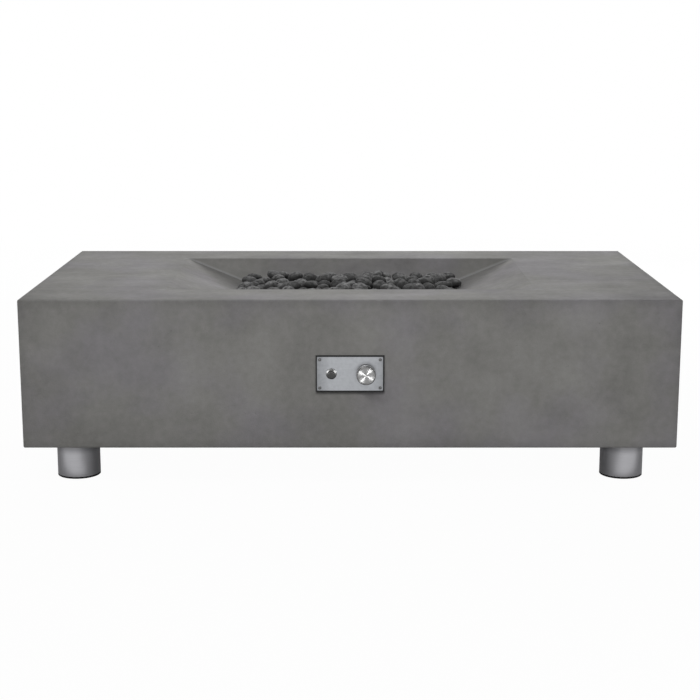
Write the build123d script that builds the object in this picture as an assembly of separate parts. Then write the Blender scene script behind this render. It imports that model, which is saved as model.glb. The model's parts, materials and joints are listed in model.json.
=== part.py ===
from build123d import *
import itertools
import math
import os
import random

import numpy as np
from scipy.optimize import linprog
from scipy.spatial import ConvexHull

# A concrete fire pit on four round legs, in millimetres.
# X runs along the length, the control panel faces -Y, and Z is up.
# Shapes are placed about the middle of the concrete body, at floor level. On export they all
# move back by half of what stands proud of the front, so that the origin is the whole's middle.

# Concrete body
body_length = 1524.0
body_depth = 840.0
body_height = 350.0
wall = 32.0
edge_radius = 4.0
leg_height = 92.0

# Sloped fire recess in the top, down to the flat ledge that carries the pan
rim_length = 884.0
rim_depth = 530.0
recess_drop = 56.0
ledge_length = 556.0
ledge_depth = 400.0
ledge_width = 22.0
basin_wall = 30.0
crease_radius = 8.0
rim_radius = 5.0

# Legs, the corner blocks that they bolt to, and their rubber pads
leg_diameter = 101.6
leg_wall = 2.0
leg_plate = 6.0
leg_inset = 109.0
leg_edge = 0.8
corner_margin = 14.0
corner_block_height = 60.0
pad_thickness = 4.5
pad_plug = 16.0
pad_plug_wall = 8.0
pad_clearance = 0.15
pad_edge = 0.6

# Leg bolts, with their washers and the threaded inserts cast into the concrete
leg_bolt = 12.0
leg_bolt_length = 40.0
leg_bolt_head = 7.5
leg_bolt_flats = 18.0
washer_diameter = 24.0
washer_thickness = 2.5
leg_insert_diameter = 20.0
leg_insert_length = 45.0
leg_insert_top = 2.0
bolt_clearance = 0.5
thread_clearance = 0.05
cast_clearance = 0.05

# Control panel: plate, gasket, screws and the window behind them
panel_rise = 3.3
plate_width = 152.0
plate_height = 79.0
plate_thickness = 2.5
plate_corner = 1.5
gasket_border = 3.3
gasket_thickness = 3.0
window_width = 122.0
window_height = 54.0
panel_screw = 4.0
panel_screw_head = 7.6
panel_screw_dome = 2.2
panel_screw_bulge = 1.6
panel_screw_length = 16.0
panel_screw_socket = 2.5
socket_depth = 1.4
panel_screw_inset = 6.3
panel_insert_diameter = 6.5
panel_insert_length = 14.0

# Gas valve, its stem and the knob
valve_x = 37.0
valve_width = 34.0
valve_length = 80.0
valve_shoulder = 26.0
valve_shoulder_length = 11.5
valve_corner = 3.0
bonnet_diameter = 18.0
bonnet_reach = 5.0
bonnet_lip = 3.0
bonnet_bore = 12.4
spring_well = 22.0
stem_diameter = 8.0
stem_flat = 1.2
stem_collar = 11.6
stem_collar_length = 3.7
stem_tail = 6.0
stem_tail_length = 24.0
spring_seat_thickness = 3.0
valve_travel = 4.0
port_offset = 34.0
magnet_spigot = 16.0
magnet_spigot_length = 20.0
magnet_flats = 17.0
magnet_head = 10.0
lock_nut_flats = 24.0
lock_nut_thickness = 4.0
run_clearance = 0.05
slide_clearance = 0.3
knob_diameter = 44.0
knob_depth = 16.0
knob_rest_gap = 2.0
knob_cavity = 32.0
knob_cavity_depth = 6.0
knob_face_wall = 3.0
knob_chamfer = 1.2
set_screw = 4.0
set_screw_length = 8.0

# Igniter push-button
igniter_x = -43.0
bezel_diameter = 24.6
bezel_front = 19.0
bezel_height = 6.0
bezel_lip = 3.0
igniter_bore = 17.0
sleeve_diameter = 21.8
sleeve_length = 28.0
igniter_nut_flats = 27.0
igniter_nut_thickness = 5.0
button_diameter = 14.0
button_rest = 1.5
button_dome = 1.8
button_travel = 3.0
button_collar_length = 7.0
igniter_spring_length = 10.0
igniter_housing = 23.0
housing_wall = 2.0
battery_diameter = 10.5
battery_length = 44.5
battery_tip = 3.8
battery_tip_length = 1.0
terminal_width = 4.8
terminal_thickness = 0.8
terminal_length = 9.0
terminal_pitch = 10.0

# Springs of square wire
spring_wire = 1.0
spring_turns = 4.5

# Drop-in burner pan
pan_sheet = 1.5
pan_depth = 31.5
pan_gap = 3.0
pan_corner = 10.0
flange_gap = 2.0
weep_hole = 6.0
weep_inset = 26.0

# H-shaped burner of square tube, with drilled ports
burner_length = 380.0
burner_width = 210.0
burner_tube = 20.0
burner_wall = 1.5
burner_lift = 10.0
port_diameter = 3.0
port_pitch = 20.0
port_margin = 14.0
coupling_diameter = 30.0

# Gas way under the pan: nipple, lock nut, air mixer, orifice and feed tube
nipple_diameter = 20.0
nipple_bore = 14.0
nipple_grip = 9.0
nipple_drop = 34.0
pan_nut_flats = 32.0
pan_nut_thickness = 8.0
mixer_diameter = 34.0
mixer_length = 60.0
mixer_socket = 14.0
mixer_bore = 16.0
mixer_air_hole = 9.0
orifice_spigot = 12.0
orifice_spigot_length = 10.0
fitting_flats = 17.0
fitting_hex = 8.0
fitting_stub = 13.0
fitting_stub_length = 12.0
jet_diameter = 2.0
feed_diameter = 10.0
feed_wall = 1.0
feed_bend = 30.0
feed_nut_flats = 19.0
feed_nut_length = 16.0
feed_nut_grip = 9.0
feed_side_run = 52.0
feed_drop = 44.0
inlet_flats = 19.0
inlet_spigot = 15.9
inlet_stub = 15.9
inlet_stub_length = 20.0
inlet_bore = 10.0

# Spark electrode and thermocouple, under their hood on the pan floor
electrode_x = -52.0
electrode_y = -38.0
ceramic_diameter = 8.0
ceramic_flange = 14.0
ceramic_flange_thickness = 4.0
ceramic_up = 18.0
ceramic_down = 24.0
electrode_wire = 2.4
electrode_bend = 6.0
electrode_tail = 8.0
spark_gap = 4.0
spark_drop = 3.0
thermocouple_x = -84.0
thermocouple_y = -34.0
thermocouple_diameter = 5.0
thermocouple_up = 30.0
thermocouple_down = 20.0
thermocouple_nut_flats = 10.0
thermocouple_nut = 5.0
hood_length = 84.0
hood_depth = 50.0
hood_height = 36.0
hood_sheet = 1.2
hood_burner_gap = 2.0
hood_foot = 14.0
hood_screw = 4.0
hood_screw_head = 7.5
hood_screw_dome = 2.4
hood_screw_length = 10.0

# Leads from the panel to the burner
spark_lead_diameter = 5.0
thermocouple_lead_diameter = 3.0
lead_bend = 24.0
lead_drop = 38.0
lead_exit = 60.0

# Lava stones, dropped one by one into the pan
stone_length = 50.0
stone_breadth = 0.84
stone_thickness = 0.63
stone_spread = 0.25
stone_tilt = 24.0
stone_gap = 0.5
stone_seed = 7
bed_crown = 9.0
bed_fall = 19.0
bed_cell = 3.0
drop_tries = 14
drop_misses = 40

# Levels and places that follow from the sizes above
body_top = leg_height + body_height
ledge_z = body_top - recess_drop
panel_z = leg_height + body_height / 2 + panel_rise
front_y = -body_depth / 2
plate_front_y = front_y - gasket_thickness - plate_thickness
opening_length = ledge_length - 2 * ledge_width
opening_depth = ledge_depth - 2 * ledge_width
pan_length = opening_length - 2 * pan_gap
pan_width = opening_depth - 2 * pan_gap
pan_floor_z = ledge_z + pan_sheet - pan_depth
pan_under_z = pan_floor_z - pan_sheet
burner_z = pan_floor_z + burner_lift
burner_top_z = burner_z + burner_tube
leg_x = body_length / 2 - leg_inset
leg_y = body_depth / 2 - leg_inset
legs = {
    "front_left": (-leg_x, -leg_y),
    "front_right": (leg_x, -leg_y),
    "rear_left": (-leg_x, leg_y),
    "rear_right": (leg_x, leg_y),
}
panel_screw_x = plate_width / 2 - panel_screw_inset
panel_screw_z = plate_height / 2 - panel_screw_inset
wall_back = -plate_thickness - gasket_thickness - wall
knob_back = valve_travel + knob_rest_gap
knob_front = knob_back + knob_depth
front_reach = gasket_thickness + plate_thickness + knob_front

# The panel's own frame: local X to the right, local Y up, local Z out of the plate
panel = Location((0, plate_front_y, panel_z), (90, 0, 0))

BASE = (Align.CENTER, Align.CENTER, Align.MIN)


def turned(*profile):
    """A solid turned about Z from (radius, height) corners."""
    face = Plane.XZ * make_face(Polyline(*profile, close=True))
    return revolve(face, Axis.Z)


def post(diameter, low, high):
    """A round bar about Z between two heights."""
    return Pos(0, 0, low) * Cylinder(diameter / 2, high - low, align=BASE)


def hexagon(flats, low, high):
    """A hexagonal bar about Z between two heights."""
    outline = RegularPolygon(flats / 2, 6, major_radius=False)
    return Pos(0, 0, low) * extrude(outline, high - low)


def block(length, depth, low, high):
    """A box about Z between two heights."""
    return Pos(0, 0, low) * Box(length, depth, high - low, align=BASE)


def hopper(length, depth, z, low_length, low_depth, low_z):
    """A four-sided funnel between a rectangle at z and one at low_z."""
    upper = Pos(0, 0, z) * Rectangle(length, depth)
    lower = Pos(0, 0, low_z) * Rectangle(low_length, low_depth)
    return loft([lower, upper], ruled=True)


def swept(points, bend, *diameters):
    """A round bar, or a tube if a bore follows, along straight runs and arcs."""
    path = FilletPolyline(*points, radius=bend)
    start = Plane(origin=path @ 0, z_dir=path % 0)
    bar = sweep(start * Circle(diameters[0] / 2), path=path)
    for bore in diameters[1:]:
        bar -= sweep(start * Circle(bore / 2), path=path)
    return bar


def coil(diameter, length):
    """A compression spring of square wire about Z, standing on Z = 0."""
    rise = length - spring_wire
    line = Helix(rise / spring_turns, rise, (diameter - spring_wire) / 2)
    start = Plane(origin=line @ 0, x_dir=(1, 0, 0), z_dir=line % 0)
    return Pos(0, 0, spring_wire / 2) * sweep(
        start * Rectangle(spring_wire, spring_wire), path=line, is_frenet=True
    )


def corner_places(x, y):
    """The four places at plus and minus x and y."""
    return [(sx * x, sy * y) for sy in (-1, 1) for sx in (-1, 1)]


def group(shapes):
    """Separate solids that share one node."""
    return Compound([solid for shape in shapes for solid in shape.solids()])


# Concrete body


def concrete_shell():
    """The cast body: walls, top, sloped fire basin and the corner blocks for the legs."""
    body = block(body_length, body_depth, leg_height, body_top)
    body = fillet(body.edges(), edge_radius)
    body -= block(body_length - 2 * wall, body_depth - 2 * wall, leg_height, body_top - wall)
    body += hopper(
        rim_length + 2 * basin_wall, rim_depth + 2 * basin_wall, body_top - wall / 2,
        ledge_length + 2 * basin_wall, ledge_depth + 2 * basin_wall, ledge_z - basin_wall,
    )
    body -= fire_recess()
    rim = body.faces().sort_by(Axis.Z)[-1].inner_wires()[0]
    body = fillet(rim.edges(), rim_radius)
    body -= block(opening_length, opening_depth, ledge_z - basin_wall, ledge_z)
    block_side = leg_inset + leg_diameter / 2 + corner_margin
    for x, y in corner_places(body_length / 2 - wall, body_depth / 2 - wall):
        pull = (block_side - wall) / 2
        centre = Pos(x - math.copysign(pull, x), y - math.copysign(pull, y), 0)
        side = block_side - wall
        body += centre * block(side, side, leg_height, leg_height + corner_block_height)
    for x, y in legs.values():
        hole = post(leg_insert_diameter + 2 * cast_clearance, 0, leg_insert_length)
        body -= Pos(x, y, leg_height) * hole
    body -= panel * block(window_width, window_height, wall_back, 0)
    screw_hole = post(panel_insert_diameter + 2 * cast_clearance, -panel_insert_length, 0)
    for x, z in corner_places(panel_screw_x, panel_screw_z):
        body -= panel * Pos(x, z, -plate_thickness - gasket_thickness) * screw_hole
    return body


def fire_recess():
    """The space of the recess, with rounded creases between its slopes."""
    space = hopper(rim_length, rim_depth, body_top, ledge_length, ledge_depth, ledge_z)
    flat = space.faces().filter_by(Axis.Z)
    level = [edge for face in flat for edge in face.edges()]
    creases = [edge for edge in space.edges() if not any(edge.is_same(rim) for rim in level)]
    return fillet(creases, crease_radius)


# Legs


def leg(x, y):
    """A steel tube with a welded plate in its upper end."""
    outer, inner = leg_diameter / 2, leg_diameter / 2 - leg_wall
    hole = leg_bolt / 2 + bolt_clearance
    under = leg_height - leg_plate
    return Pos(x, y, 0) * turned(
        (hole, leg_height), (outer - leg_edge, leg_height), (outer, leg_height - leg_edge),
        (outer, pad_thickness), (inner, pad_thickness), (inner, under), (hole, under),
    )


def foot_pad(x, y):
    """A rubber pad whose hollow plug sits in the leg's lower end."""
    outer = leg_diameter / 2
    plug = outer - leg_wall - pad_clearance
    core = plug - pad_plug_wall
    top = pad_thickness + pad_plug
    return Pos(x, y, 0) * turned(
        (0, 0), (outer - pad_edge, 0), (outer, pad_edge), (outer, pad_thickness),
        (plug, pad_thickness), (plug, top), (core, top), (core, pad_thickness), (0, pad_thickness),
    )


def leg_bolts():
    """Hex bolts that go up through each leg's plate into the cast insert."""
    seat = leg_height - leg_plate - washer_thickness
    head = hexagon(leg_bolt_flats, seat - leg_bolt_head, seat)
    bolt = head + post(leg_bolt, seat, seat + leg_bolt_length)
    return group([Pos(x, y, 0) * bolt for x, y in legs.values()])


def leg_washers():
    seat = leg_height - leg_plate
    washer = post(washer_diameter, seat - washer_thickness, seat)
    washer -= post(leg_bolt + 2 * bolt_clearance, seat - washer_thickness, seat)
    return group([Pos(x, y, 0) * washer for x, y in legs.values()])


def leg_inserts():
    """Threaded bushes, closed at the top, cast into the corner blocks."""
    bush = post(leg_insert_diameter, leg_height, leg_height + leg_insert_length)
    thread_top = leg_height + leg_insert_length - leg_insert_top
    bush -= post(leg_bolt + 2 * thread_clearance, leg_height, thread_top)
    return group([Pos(x, y, 0) * bush for x, y in legs.values()])


# Control panel


def control_plate():
    """The steel plate, with holes for the valve, the igniter and its corner screws."""
    outline = RectangleRounded(plate_width, plate_height, plate_corner)
    plate = Pos(0, 0, -plate_thickness) * extrude(outline, plate_thickness)
    holes = [(valve_x, 0, bonnet_diameter), (igniter_x, 0, sleeve_diameter)]
    holes += [(x, z, panel_screw) for x, z in corner_places(panel_screw_x, panel_screw_z)]
    for x, z, diameter in holes:
        plate -= Pos(x, z, 0) * post(diameter + 2 * slide_clearance, -plate_thickness, 0)
    return panel * plate


def panel_gasket():
    """A black foam frame between the plate and the concrete, a little larger than the plate."""
    low = -plate_thickness - gasket_thickness
    width, height = plate_width + 2 * gasket_border, plate_height + 2 * gasket_border
    frame = block(width, height, low, -plate_thickness)
    frame -= block(window_width, window_height, low, -plate_thickness)
    for x, z in corner_places(panel_screw_x, panel_screw_z):
        hole = post(panel_screw + 2 * slide_clearance, low, -plate_thickness)
        frame -= Pos(x, z, 0) * hole
    return panel * frame


def panel_screws():
    """Domed socket screws at the plate's corners."""
    radius, dome = panel_screw_head / 2, panel_screw_dome
    crown = panel_screw_socket
    profile = make_face([
        Polyline((0, dome), (0, 0), (radius, 0)),
        ThreePointArc((radius, 0), ((radius + crown) / 2, panel_screw_bulge), (crown, dome)),
        Line((crown, dome), (0, dome)),
    ])
    screw = revolve(Plane.XZ * profile, Axis.Z)
    screw -= hexagon(panel_screw_socket, dome - socket_depth, dome)
    screw += post(panel_screw, -panel_screw_length, 0)
    return group([panel * Pos(x, z, 0) * screw for x, z in corner_places(panel_screw_x, panel_screw_z)])


def panel_inserts():
    """Threaded bushes in the concrete behind the plate's corners."""
    face = -plate_thickness - gasket_thickness
    bush = post(panel_insert_diameter, face - panel_insert_length, face)
    bush -= post(panel_screw + 2 * thread_clearance, face - panel_insert_length, face)
    return group([panel * Pos(x, z, 0) * bush for x, z in corner_places(panel_screw_x, panel_screw_z)])


# Gas valve and knob

valve_front = -plate_thickness
valve_block_front = valve_front - valve_shoulder_length
valve_back = valve_block_front - valve_length
valve_port = valve_back + port_offset
valve = panel * Pos(valve_x, 0, 0)
collar_front = bonnet_reach - bonnet_lip - slide_clearance
collar_back = collar_front - stem_collar_length
seat_front = collar_back - slide_clearance
seat_back = seat_front - spring_seat_thickness
well_floor = bonnet_reach - bonnet_lip - spring_well
stem_end = knob_front - knob_face_wall - run_clearance
hub_back = knob_back + knob_cavity_depth


def valve_body():
    """A brass body with a threaded bonnet, a spring well and ports below and at the side."""
    body = post(bonnet_diameter, valve_front, bonnet_reach)
    body += post(valve_shoulder, valve_block_front, valve_front)
    brick = block(valve_width, valve_width, valve_back, valve_block_front)
    body += fillet(brick.edges().filter_by(Axis.Z), valve_corner)
    body -= post(stem_diameter + 2 * run_clearance, well_floor, bonnet_reach)
    body -= post(bonnet_bore, well_floor, bonnet_reach - bonnet_lip)
    body -= post(stem_tail + 2 * slide_clearance, valve_back, well_floor)
    body -= post(magnet_spigot + 2 * thread_clearance, valve_back, valve_back + magnet_spigot_length)
    inlet_port = post(inlet_spigot + 2 * thread_clearance, -valve_width / 2, 0)
    body -= Pos(0, 0, valve_port) * Rot(-90, 0, 0) * inlet_port
    outlet_port = post(orifice_spigot + 2 * thread_clearance, -valve_width / 2, 0)
    body -= Pos(0, 0, valve_port) * Rot(0, -90, 0) * outlet_port
    return valve * body


def valve_stem():
    """The push-and-turn stem: a flatted end for the knob, a collar and a tail."""
    stem = post(stem_diameter, collar_front, stem_end)
    flat = block(stem_diameter, stem_flat, hub_back, stem_end)
    stem -= Pos(0, stem_diameter / 2 - stem_flat / 2, 0) * flat
    stem += post(stem_collar, collar_back, collar_front)
    stem += post(stem_tail, collar_back - stem_tail_length, collar_back)
    return valve * stem


def spring_seat():
    """A ring under the stem's collar that slides with it and doesn't turn."""
    ring = post(bonnet_bore - 2 * run_clearance, seat_back, seat_front)
    ring -= post(stem_tail + 2 * run_clearance, seat_back, seat_front)
    return valve * ring


def valve_spring():
    """The spring between the seat and the floor of the valve's well."""
    length = seat_back - well_floor - 2 * slide_clearance
    spring = coil(bonnet_bore - 4 * slide_clearance, length)
    return valve * Pos(0, 0, well_floor + slide_clearance) * spring


def magnet_unit():
    """The safety magnet's housing, screwed into the back of the valve."""
    unit = hexagon(magnet_flats, valve_back - magnet_head, valve_back)
    unit += post(magnet_spigot, valve_back, valve_back + magnet_spigot_length - slide_clearance)
    socket = thermocouple_lead_diameter + 2 * run_clearance
    unit -= post(socket, valve_back - magnet_head, valve_back - magnet_head / 2)
    return valve * unit


def valve_lock_nut():
    nut = hexagon(lock_nut_flats, 0, lock_nut_thickness)
    nut -= post(bonnet_diameter + 2 * thread_clearance, 0, lock_nut_thickness)
    return valve * nut


def knob():
    """A turned knob, hollow behind, with a spun face, a flatted bore and a screw hole below."""
    radius = knob_diameter / 2
    body = turned(
        (0, knob_back), (radius, knob_back), (radius, knob_front - knob_chamfer),
        (radius - knob_chamfer, knob_front), (0, knob_front),
    )
    body -= post(knob_cavity, knob_back, hub_back)
    bore = post(stem_diameter + 2 * run_clearance, hub_back, knob_front - knob_face_wall)
    key = block(stem_diameter, stem_flat, hub_back, knob_front - knob_face_wall)
    bore -= Pos(0, stem_diameter / 2 - stem_flat / 2 + 2 * run_clearance, 0) * key
    body -= bore
    body -= set_screw_bar(set_screw + 2 * thread_clearance, radius)
    return valve * body


def set_screw_bar(diameter, reach):
    """A round bar from the stem's surface down to a reach from the knob's axis."""
    middle = (hub_back + knob_front - knob_face_wall) / 2
    bar = post(diameter, stem_diameter / 2 + run_clearance, reach)
    return Pos(0, 0, middle) * Rot(90, 0, 0) * bar


def knob_set_screw():
    screw = set_screw_bar(set_screw, stem_diameter / 2 + run_clearance + set_screw_length)
    return valve * screw


def gas_inlet():
    """The flare fitting below the valve that a supply hose screws on to."""
    return valve * Pos(0, -valve_width / 2, valve_port) * Rot(90, 0, 0) * fitting(
        inlet_spigot, inlet_flats, inlet_stub, inlet_stub_length, inlet_bore
    )


def fitting(spigot, flats, stub, stub_length, bore):
    """A screwed fitting about Z: a spigot below zero, then a hexagon and a stub."""
    shape = post(spigot, -orifice_spigot_length, 0)
    shape += hexagon(flats, 0, fitting_hex) + post(stub, fitting_hex, fitting_hex + stub_length)
    return shape - post(bore, -orifice_spigot_length, fitting_hex + stub_length)


def valve_outlet():
    """The fitting at the valve's side that feeds the burner."""
    return valve * Pos(valve_width / 2, 0, valve_port) * Rot(0, 90, 0) * fitting(
        orifice_spigot, fitting_flats, fitting_stub, fitting_stub_length, feed_diameter - 2 * feed_wall
    )


# Igniter

igniter = panel * Pos(igniter_x, 0, 0)
sleeve_back = -plate_thickness - sleeve_length
button_front = bezel_height + button_travel + button_rest
button_collar_front = bezel_height - bezel_lip - slide_clearance
button_back = button_collar_front - button_collar_length
igniter_spring_back = button_back - igniter_spring_length
housing_back = sleeve_back - battery_length - battery_tip_length - 2 * slide_clearance - housing_wall


def igniter_bezel():
    """A chromed bezel and threaded sleeve in one piece, with a lip that keeps the button in."""
    mouth = button_diameter / 2 + slide_clearance
    bore, lip = igniter_bore / 2, bezel_height - bezel_lip
    shape = turned(
        (mouth, bezel_height), (bezel_front / 2, bezel_height), (bezel_diameter / 2, bezel_lip),
        (bezel_diameter / 2, 0), (sleeve_diameter / 2, 0), (sleeve_diameter / 2, sleeve_back),
        (bore, sleeve_back), (bore, lip), (mouth, lip),
    )
    return igniter * shape


def igniter_nut():
    top = -plate_thickness
    nut = hexagon(igniter_nut_flats, top - igniter_nut_thickness, top)
    nut -= post(sleeve_diameter + 2 * thread_clearance, top - igniter_nut_thickness, top)
    return igniter * nut


def igniter_button():
    """A domed button with a collar behind the bezel's lip."""
    cap = post(button_diameter, button_collar_front, button_front)
    cap = fillet(cap.edges().sort_by(Axis.Z)[-1:], button_dome)
    return igniter * (cap + post(igniter_bore - 2 * slide_clearance, button_back, button_collar_front))


def igniter_spring():
    spring = coil(igniter_bore - 6 * slide_clearance, igniter_spring_length - 2 * slide_clearance)
    return igniter * Pos(0, 0, igniter_spring_back + slide_clearance) * spring


def igniter_housing_shell():
    """The battery and spark housing, with a spigot that plugs into the sleeve."""
    room = battery_diameter + 2 * slide_clearance
    shape = post(igniter_housing, housing_back, sleeve_back)
    shape += post(igniter_bore - 2 * run_clearance, sleeve_back, igniter_spring_back)
    return igniter * (shape - post(room, housing_back + housing_wall, sleeve_back))


def igniter_battery():
    low = housing_back + housing_wall + slide_clearance
    cell = post(battery_diameter, low, low + battery_length)
    tip_top = low + battery_length + battery_tip_length
    return igniter * (cell + post(battery_tip, low + battery_length, tip_top))


def igniter_terminals():
    """Two flat tabs at the back of the housing."""
    tab = block(terminal_thickness, terminal_width, housing_back - terminal_length, housing_back)
    return group([igniter * Pos(side * terminal_pitch / 2, 0, 0) * tab for side in (-1, 1)])


# Fire pan and burner


def burner_pan():
    """A folded tray hung by its flange on the concrete ledge, with holes in its floor."""
    flange_length, flange_width = ledge_length - 2 * flange_gap, ledge_depth - 2 * flange_gap
    tray_corner = pan_corner - pan_sheet
    outer = RectangleRounded(pan_length, pan_width, pan_corner)
    inner = RectangleRounded(pan_length - 2 * pan_sheet, pan_width - 2 * pan_sheet, tray_corner)
    pan = Pos(0, 0, pan_under_z) * extrude(outer, ledge_z + pan_sheet - pan_under_z)
    pan += block(flange_length, flange_width, ledge_z, ledge_z + pan_sheet)
    pan -= Pos(0, 0, pan_floor_z) * extrude(inner, pan_depth)
    holes = [(0, 0, nipple_diameter), (electrode_x, electrode_y, ceramic_diameter)]
    holes += [(thermocouple_x, thermocouple_y, thermocouple_diameter)]
    weeps = corner_places(pan_length / 2 - weep_inset, pan_width / 2 - weep_inset)
    holes += [(x, y, weep_hole) for x, y in weeps]
    holes += [(x, y, hood_screw) for x, y in hood_screw_places()]
    for x, y, diameter in holes:
        pan -= Pos(x, y, 0) * post(diameter + 2 * slide_clearance, pan_under_z, pan_floor_z)
    return pan


def burner():
    """The welded burner: a long bar between two cross bars, with gas ports along the top."""
    bar_x = burner_length / 2 - burner_tube / 2

    def bars(tube, trim, low, high):
        shape = block(burner_length - 2 * trim, tube, low, high)
        for side in (-1, 1):
            shape += Pos(side * bar_x, 0, 0) * block(tube, burner_width - 2 * trim, low, high)
        return shape

    shape = bars(burner_tube, 0, burner_z, burner_top_z)
    shape += post(coupling_diameter, pan_floor_z, burner_z)
    bore = burner_tube - 2 * burner_wall
    shape -= bars(bore, burner_wall, burner_z + burner_wall, burner_top_z - burner_wall)
    thread = nipple_diameter + 2 * thread_clearance
    shape -= post(thread, pan_floor_z, pan_floor_z + nipple_grip)
    shape -= post(nipple_bore, pan_floor_z, burner_z + burner_wall)
    port = post(port_diameter, burner_top_z - burner_wall, burner_top_z)
    for x, y in burner_port_places(bar_x):
        shape -= Pos(x, y, 0) * port
    return shape


def burner_port_places(bar_x):
    """Evenly pitched places along the three bars of the burner."""
    def row(length):
        count = int((length / 2 - port_margin) / port_pitch)
        return [step * port_pitch for step in range(-count, count + 1)]

    places = [(x, 0) for x in row(burner_length - 2 * burner_tube)]
    places += [(side * bar_x, y) for side in (-1, 1) for y in row(burner_width)]
    return places


nipple_low = pan_under_z - nipple_drop
mixer_top = nipple_low - slide_clearance + mixer_socket
mixer_low = mixer_top - mixer_length
jet_low = mixer_low - fitting_hex - fitting_stub_length


def burner_nipple():
    """The threaded pipe that comes up through the pan into the burner's coupling."""
    pipe = post(nipple_diameter, nipple_low, pan_floor_z + nipple_grip)
    return pipe - post(nipple_bore, nipple_low, pan_floor_z + nipple_grip)


def pan_lock_nut():
    nut = hexagon(pan_nut_flats, pan_under_z - pan_nut_thickness, pan_under_z)
    thread = nipple_diameter + 2 * thread_clearance
    return nut - post(thread, pan_under_z - pan_nut_thickness, pan_under_z)


def air_mixer():
    """A round mixing chamber under the nipple, with four air holes round its middle."""
    shape = post(mixer_diameter, mixer_low, mixer_top)
    thread = nipple_diameter + 2 * thread_clearance
    shape -= post(thread, mixer_top - mixer_socket, mixer_top)
    shape -= post(mixer_bore, mixer_low + orifice_spigot_length, mixer_top)
    shape -= post(orifice_spigot + 2 * thread_clearance, mixer_low, mixer_top)
    middle = mixer_low + orifice_spigot_length + mixer_air_hole
    across = Pos(0, 0, middle) * Rot(90, 0, 0) * Cylinder(mixer_air_hole / 2, mixer_diameter)
    return shape - across - Rot(0, 0, 90) * across


def gas_orifice():
    """The brass jet at the foot of the mixer."""
    jet = fitting(orifice_spigot, fitting_flats, fitting_stub, fitting_stub_length, jet_diameter)
    return Pos(0, 0, mixer_low) * Rot(180, 0, 0) * jet


def feed_points():
    """The feed tube's corners, from the valve's side round to the jet under the pan."""
    x, y, z = (valve * Pos(valve_width / 2, 0, valve_port)).position
    stub_end = x + fitting_hex + fitting_stub_length
    low = jet_low - feed_drop
    side = stub_end + feed_side_run
    return [
        (stub_end, y, z), (side, y, z), (side, y / 2, low), (0, 0, low), (0, 0, jet_low),
    ]


def feed_tube():
    """The bent gas tube from the valve to the burner."""
    return swept(feed_points(), feed_bend, feed_diameter, feed_diameter - 2 * feed_wall)


def feed_nuts():
    """Flare nuts over both ends of the feed tube."""
    nut = hexagon(feed_nut_flats, feed_nut_grip - feed_nut_length, feed_nut_grip)
    nut -= post(fitting_stub + 2 * thread_clearance, 0, feed_nut_grip)
    nut -= post(feed_diameter + 2 * run_clearance, feed_nut_grip - feed_nut_length, 0)
    ends = feed_points()
    return group([
        Pos(*ends[0]) * Rot(0, -90, 0) * nut,
        Pos(*ends[-1]) * nut,
    ])


# Spark electrode, thermocouple and hood


def electrode_ceramic():
    """The flanged insulator that stands in the pan's floor."""
    shape = post(ceramic_diameter, pan_floor_z - ceramic_down, pan_floor_z + ceramic_up)
    shape += post(ceramic_flange, pan_floor_z, pan_floor_z + ceramic_flange_thickness)
    bore = electrode_wire + 2 * run_clearance
    shape -= post(bore, pan_floor_z - ceramic_down, pan_floor_z + ceramic_up)
    return Pos(electrode_x, electrode_y, 0) * shape


def electrode_rod():
    """The wire through the insulator, bent over towards the burner's ports."""
    tip_z = burner_top_z - spark_drop
    tip_y = -burner_tube / 2 - spark_gap
    foot = pan_floor_z - ceramic_down - electrode_tail
    return swept(
        [(electrode_x, electrode_y, foot), (electrode_x, electrode_y, tip_z), (electrode_x, tip_y, tip_z)],
        electrode_bend, electrode_wire,
    )


def thermocouple():
    """The probe beside the electrode."""
    low = pan_floor_z - thermocouple_down
    probe = post(thermocouple_diameter, low, pan_floor_z + thermocouple_up - thermocouple_diameter / 2)
    tip = Pos(0, 0, pan_floor_z + thermocouple_up - thermocouple_diameter / 2)
    probe += tip * Sphere(thermocouple_diameter / 2)
    return Pos(thermocouple_x, thermocouple_y, 0) * probe


def thermocouple_nut_ring():
    nut = hexagon(thermocouple_nut_flats, pan_floor_z, pan_floor_z + thermocouple_nut)
    nut -= post(thermocouple_diameter + 2 * thread_clearance, pan_floor_z, pan_floor_z + thermocouple_nut)
    return Pos(thermocouple_x, thermocouple_y, 0) * nut


hood_x = (electrode_x + thermocouple_x) / 2
hood_y = -burner_tube / 2 - hood_burner_gap - hood_depth / 2
hood_top = pan_floor_z + hood_height


def hood_screw_places():
    """The two screws, in feet at the hood's ends."""
    reach = hood_length / 2 + hood_foot / 2
    return [(hood_x + side * reach, hood_y) for side in (-1, 1)]


def igniter_hood():
    """A folded cover that keeps stones off the electrode and is open towards the burner."""
    shape = block(hood_length, hood_depth, pan_floor_z, hood_top)
    inside = block(hood_length - 2 * hood_sheet, hood_depth, pan_floor_z, hood_top - hood_sheet)
    shape -= Pos(0, hood_sheet, 0) * inside
    for side in (-1, 1):
        foot = block(hood_foot, hood_depth, pan_floor_z, pan_floor_z + hood_sheet)
        shape += Pos(side * (hood_length + hood_foot) / 2, 0, 0) * foot
    shape = Pos(hood_x, hood_y, 0) * shape
    for x, y in hood_screw_places():
        hole = post(hood_screw + 2 * slide_clearance, pan_floor_z, pan_floor_z + hood_sheet)
        shape -= Pos(x, y, 0) * hole
    return shape


def hood_screws():
    seat = pan_floor_z + hood_sheet
    screw = post(hood_screw_head, seat, seat + hood_screw_dome)
    screw = fillet(screw.edges().sort_by(Axis.Z)[-1:], hood_screw_dome / 2)
    screw += post(hood_screw, seat - hood_screw_length, seat)
    return group([Pos(x, y, 0) * screw for x, y in hood_screw_places()])


# Leads


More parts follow.
